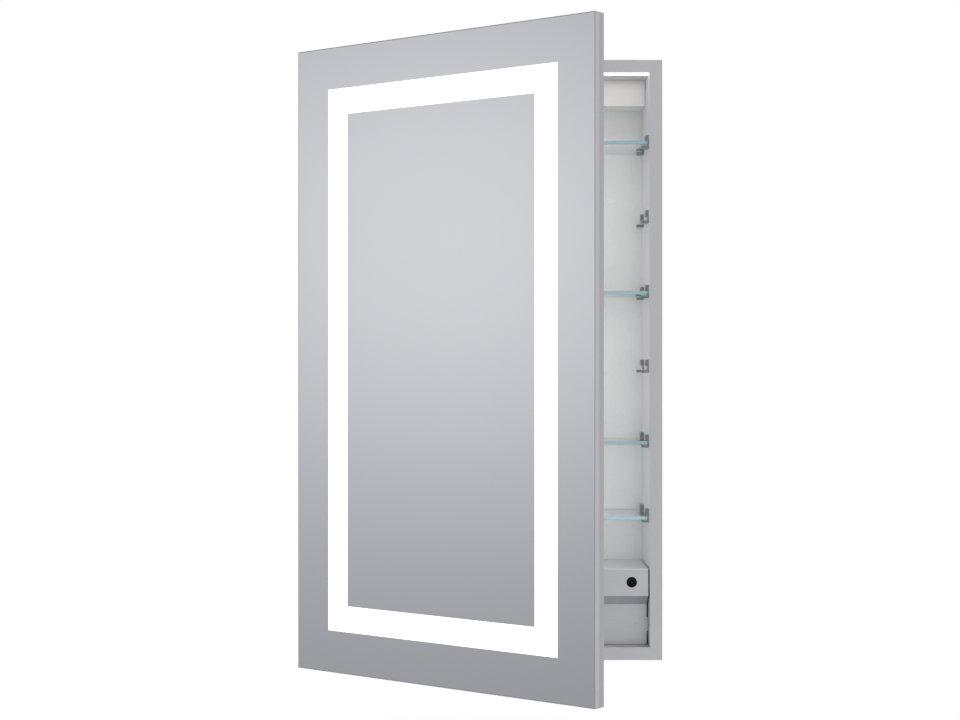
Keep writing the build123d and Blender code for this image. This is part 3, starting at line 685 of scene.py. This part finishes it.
ROOM_COLOUR = (0.50, 0.50, 0.51)
PANEL_AT = (-168.0, 0.0)      # centre of a dim panel, where the open door's mirror looks
PANEL_COLOUR = (0.28, 0.28, 0.31)
PANEL_RADII = (20.0, 48.0)    # degrees, where its soft edge begins and ends

# Studio lamps: azimuth, elevation, half-width and half-height in degrees, and strength
ROOM_LAMPS = (
    (-168.0, 4.0, 12.0, 10.0, 0.40),
    (-88.0, 6.0, 28.0, 30.0, 0.55),
    (15.0, 5.0, 30.0, 40.0, 0.40),
    (-90.0, 78.0, 22.0, 22.0, 1.4),
)


def background(tree, colour, strength=1.0):
    node = tree.nodes.new("ShaderNodeBackground")
    node.inputs["Color"].default_value = (*colour, 1.0)
    if isinstance(strength, bpy.types.NodeSocket):
        tree.links.new(strength, node.inputs["Strength"])
    else:
        node.inputs["Strength"].default_value = strength
    return node.outputs["Background"]


def joined(tree, kind, first, second, factor=None):
    """Two shaders added or mixed."""
    node = tree.nodes.new(kind)
    shaders = [socket for socket in node.inputs if socket.type == "SHADER"]
    tree.links.new(first, shaders[0])
    tree.links.new(second, shaders[1])
    if factor is not None:
        tree.links.new(factor, node.inputs["Fac"])
    return node.outputs["Shader"]


def studio_world():
    """White to the camera; to the object a soft grey room with a dim panel and four soft lamps."""
    world = bpy.data.worlds.new("studio")
    bpy.context.scene.world = world
    world.use_nodes = True
    tree = world.node_tree
    tree.nodes.clear()
    look = tree.nodes.new("ShaderNodeTexCoord").outputs["Generated"]
    panel = tree.nodes.new("ShaderNodeMapRange")
    panel.interpolation_type = "SMOOTHSTEP"
    panel.inputs["From Min"].default_value = math.cos(math.radians(PANEL_RADII[1]))
    panel.inputs["From Max"].default_value = math.cos(math.radians(PANEL_RADII[0]))
    tree.links.new(dot_node(tree, look, direction(*PANEL_AT)), panel.inputs["Value"])
    room = joined(tree, "ShaderNodeMixShader", background(tree, ROOM_COLOUR),
                  background(tree, PANEL_COLOUR), panel.outputs["Result"])
    level = 0.0
    for lamp in ROOM_LAMPS:
        level = math_node(tree, "ADD", soft_lamp(tree, look, *lamp), level)
    room = joined(tree, "ShaderNodeAddShader", room, background(tree, WHITE, level))
    path = tree.nodes.new("ShaderNodeLightPath")
    seen = joined(tree, "ShaderNodeMixShader", room, background(tree, WHITE),
                  path.outputs["Is Camera Ray"])
    out = tree.nodes.new("ShaderNodeOutputWorld")
    tree.links.new(seen, out.inputs["Surface"])


def soft_box(name, at, turn, width, height, power, colour=WHITE):
    """A rectangular lamp that lights the cabinet but isn't seen. Without a turn it faces down."""
    lamp = bpy.data.lights.new(name, "AREA")
    lamp.shape = "RECTANGLE"
    lamp.size = width
    lamp.size_y = height
    lamp.energy = power
    lamp.color = colour
    holder = bpy.data.objects.new(name, lamp)
    bpy.context.scene.collection.objects.link(holder)
    holder.location = at
    holder.rotation_euler = turn
    holder.visible_camera = False
    holder.visible_glossy = False


def interior_lamps():
    """Fills from the left and from the face, and the light strip's glow downwards and on the cover."""
    low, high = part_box("right_profile")
    middle = (low.y + high.y) / 2
    face = low.y + FACE_CLEAR
    soft_box("inside_fill", (SIDE_FILL_X, middle, 0.0), TO_RIGHT, *SIDE_FILL_SIZE, SIDE_FILL_POWER)
    soft_box("back_fill", (0.0, face, BACK_FILL_Z), TO_WALL, *BACK_FILL_SIZE, BACK_FILL_POWER)
    soft_box("low_fill", (0.0, face, LOW_FILL_Z), TO_WALL, *LOW_FILL_SIZE, LOW_FILL_POWER)
    low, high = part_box("light_diffuser")
    soft_box("strip_glow", (0.0, (low.y + high.y) / 2, low.z - STRIP_GAP), DOWN,
             high.x - low.x, high.y - low.y, STRIP_GLOW_POWER, WARM)
    low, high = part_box("upper_rear_cover")
    soft_box("cover_glow", (0.0, low.y - COVER_GLOW_REACH, high.z - COVER_GLOW_HEIGHT / 2), TO_WALL,
             high.x - low.x, COVER_GLOW_HEIGHT, COVER_GLOW_POWER, WARM)


def studio_floor():
    """A round pale floor below the cabinet that fades out at its rim."""
    made = bmesh.new()
    bmesh.ops.create_circle(made, cap_ends=True, segments=96, radius=FLOOR_RADIUS)
    material = floor_paint()
    tree = material.node_tree
    place = tree.nodes.new("ShaderNodeTexCoord")
    length = tree.nodes.new("ShaderNodeVectorMath")
    length.operation = "LENGTH"
    tree.links.new(place.outputs["Object"], length.inputs[0])
    fade = tree.nodes.new("ShaderNodeMapRange")
    fade.interpolation_type = "SMOOTHSTEP"
    fade.inputs["From Min"].default_value = FLOOR_RADIUS - FLOOR_FADE
    fade.inputs["From Max"].default_value = FLOOR_RADIUS
    fade.inputs["To Min"].default_value = 1.0
    fade.inputs["To Max"].default_value = 0.0
    tree.links.new(length.outputs["Value"], fade.inputs["Value"])
    tree.links.new(fade.outputs["Result"], shader_of(material).inputs["Alpha"])
    low, high = cad_box
    place = Matrix.Translation(((low.x + high.x) / 2, (low.y + high.y) / 2, low.z - FLOOR_DROP))
    mesh_object("floor", made, (material,), place)


def camera():
    lens = bpy.data.cameras.new("camera")
    lens.lens = LENS_MM
    lens.sensor_width = SENSOR_MM
    lens.dof.use_dof = False
    holder = bpy.data.objects.new("camera", lens)
    bpy.context.scene.collection.objects.link(holder)
    holder.location = CAMERA_AT
    holder.rotation_euler = (math.pi / 2, 0.0, 0.0)
    bpy.context.scene.camera = holder


paint_nodes()
shelf_edge_finish = shelf_edge()
mirror_pane()
for shelf in SHELVES:
    glass_shelf(shelf)
cross_screws("cover_screws", "cabinet", -1)
cross_screws("back_panel_screws", "cabinet", 1)
cross_screws("hinge_screws_body", "cabinet", -1)
cross_screws("hinge_screws_door", "door", 1, DOOR_PLACE)
cross_screws("pan_screws", "door", 1, DOOR_PLACE)
button_mark()
for node in SOFTENED:
    soften(node)
studio_world()
studio_floor()
interior_lamps()
camera()
bpy.context.scene.view_settings.view_transform = "Standard"
